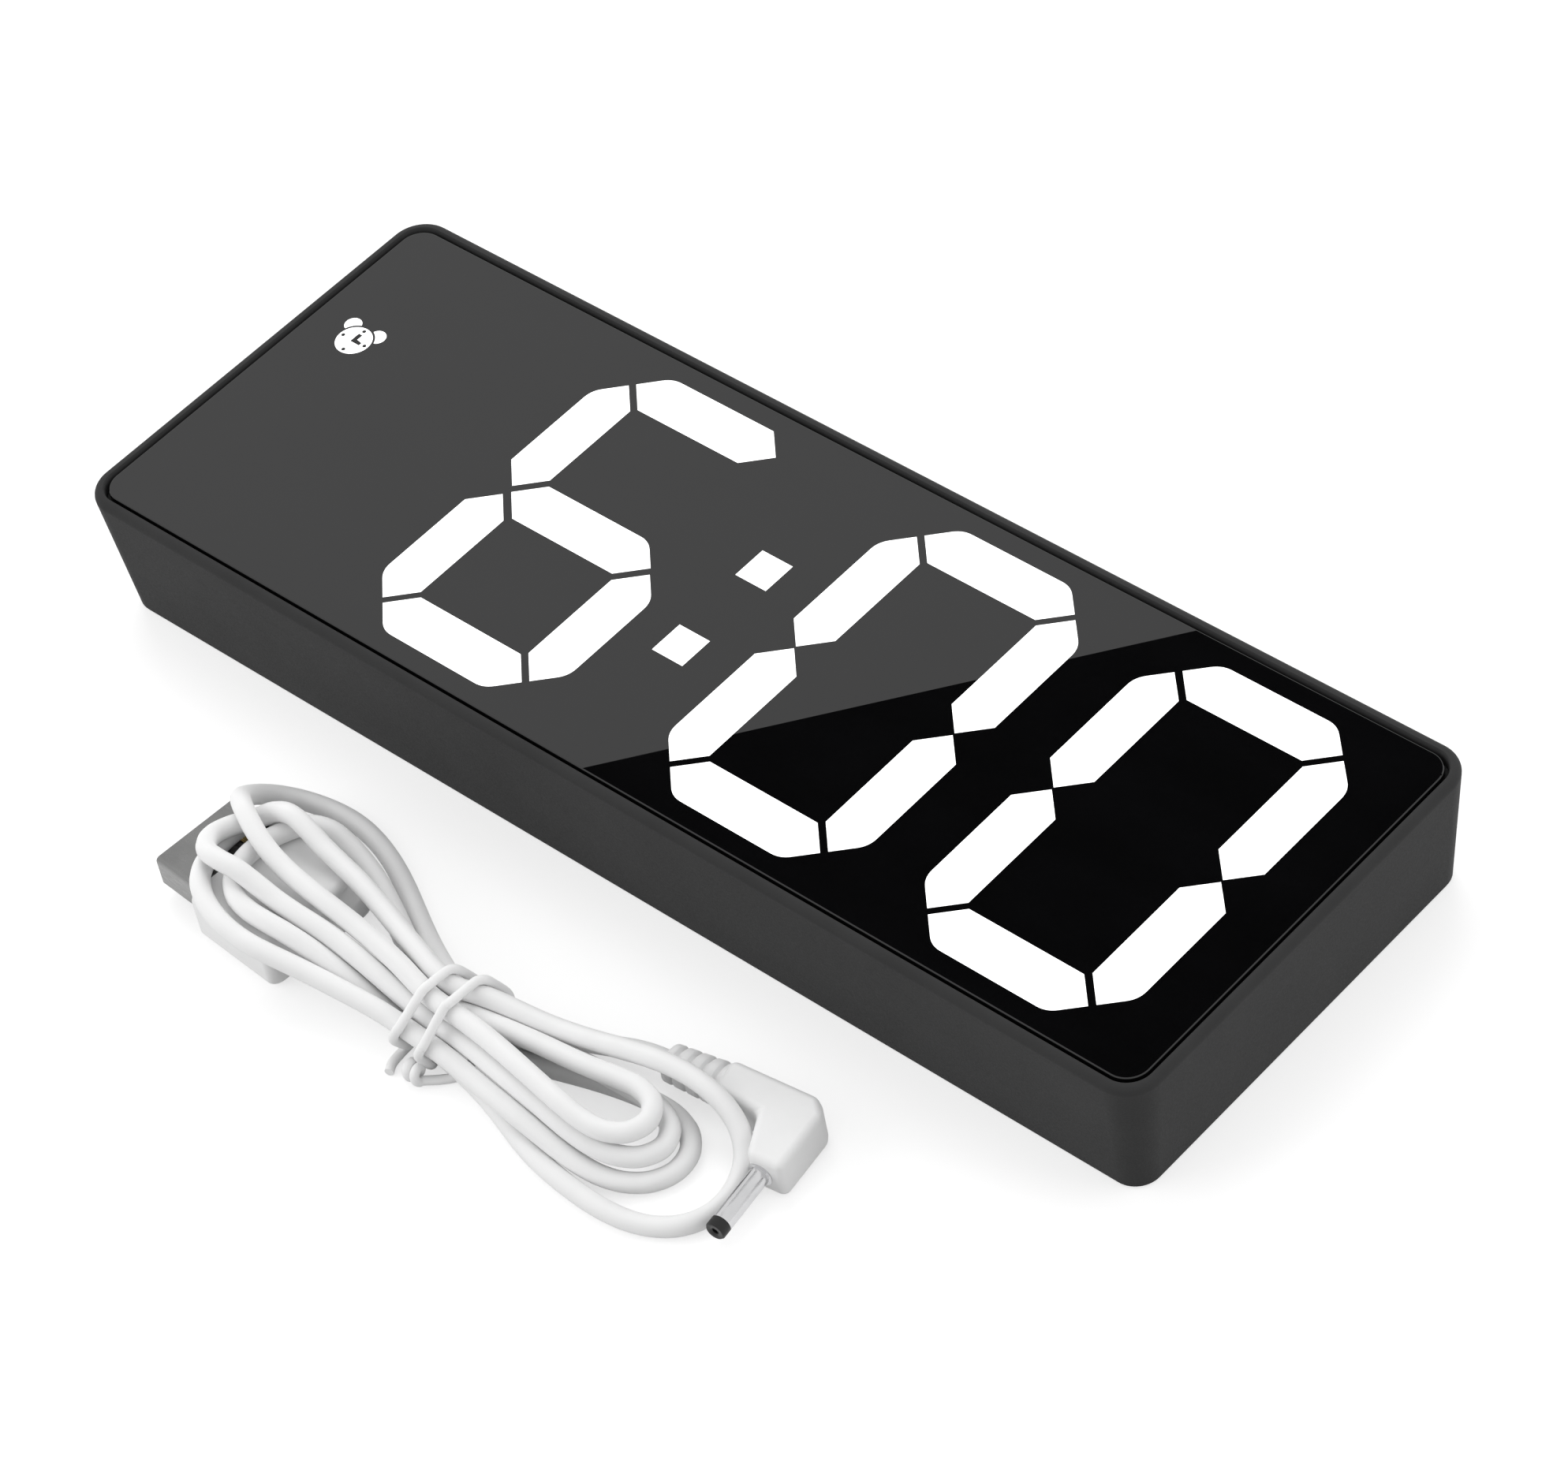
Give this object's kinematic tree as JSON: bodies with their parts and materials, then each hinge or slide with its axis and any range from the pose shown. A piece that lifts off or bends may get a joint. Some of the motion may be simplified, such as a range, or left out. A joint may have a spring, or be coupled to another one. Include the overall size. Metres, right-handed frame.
{
  "type": "digital alarm clock",
  "caption": "Flat digital alarm clock with a tinted mirror face, lit seven-segment figures, rear buttons, a battery door and a tied power cord.",
  "frame": {"origin": "centre of the back face, which is the bottom of the clock without its cord", "axes": "+X along the row of figures in reading direction, +Y to the tops of the figures, +Z out of the face"},
  "size_m": [0.1598, 0.0938, 0.018],
  "materials": {
    "housing": "fine satin texture, charcoal",
    "mirror": "polished near-black mirror tint",
    "reflector": "moulded white reflector",
    "lit_guide": "diffusing clear plastic, lit white from behind",
    "dark_guide": "diffusing clear plastic, unlit",
    "board": "green printed board",
    "steel": "plain bright steel",
    "plug_metal": "nickel plating",
    "black_plastic": "moulded black",
    "button": "satin, a shade darker than the housing",
    "plunger": "ivory moulding",
    "white_cord": "soft white vinyl"
  },
  "bodies": {
    "clock": {"front_housing": "housing", "mirror_panel": "mirror", "light_box": "reflector", "hour_tens_guide": "dark_guide", "hour_guide": "lit_guide", "minute_tens_guide": "lit_guide", "minute_guide": "lit_guide", "colon_guide": "lit_guide", "alarm_icon_guide": "lit_guide", "display_board": "board", "rear_cover": "housing", "screw_1": "steel", "screw_2": "steel", "screw_3": "steel", "screw_4": "steel", "coin_cell": "steel", "cell_holder": "black_plastic", "cell_contact": "steel", "dc_jack": "black_plastic", "buzzer": "black_plastic", "controller_chip": "black_plastic", "mode_switch": "black_plastic", "up_switch": "black_plastic", "down_switch": "black_plastic", "snooze_switch": "black_plastic", "cord_hank": "white_cord", "cord_tie": "white_cord", "cord_usb_tail": "white_cord", "cord_dc_tail": "white_cord", "usb_body": "white_cord", "usb_shell": "plug_metal", "usb_tongue": "plunger", "dc_plug_body": "white_cord", "dc_barrel": "plug_metal", "dc_barrel_tip": "black_plastic"},
    "door": {"battery_door": "housing"},
    "mode": {"mode_button": "button", "mode_plunger": "plunger"},
    "up": {"up_button": "button", "up_plunger": "plunger"},
    "down": {"down_button": "button", "down_plunger": "plunger"},
    "snooze": {"snooze_bar": "button", "snooze_plunger": "plunger"}
  },
  "joints": [
    {"name": "door_hinge", "type": "hinge", "parent": "clock", "child": "door", "pos_m": [-0.0256, -0.0136, 0.0015], "axis": [-1, 0, 0], "range_deg": [0, 90]},
    {"name": "mode_press", "type": "slide", "parent": "clock", "child": "mode", "axis": [0, 0, 1], "range_m": [0, 0.0005], "stiffness_N_per_m": 300},
    {"name": "up_press", "type": "slide", "parent": "clock", "child": "up", "axis": [0, 0, 1], "range_m": [0, 0.0005], "stiffness_N_per_m": 300},
    {"name": "down_press", "type": "slide", "parent": "clock", "child": "down", "axis": [0, 0, 1], "range_m": [0, 0.0005], "stiffness_N_per_m": 300},
    {"name": "snooze_press", "type": "slide", "parent": "clock", "child": "snooze", "axis": [0, -1, 0], "range_m": [0, 0.0005], "stiffness_N_per_m": 300}
  ]
}
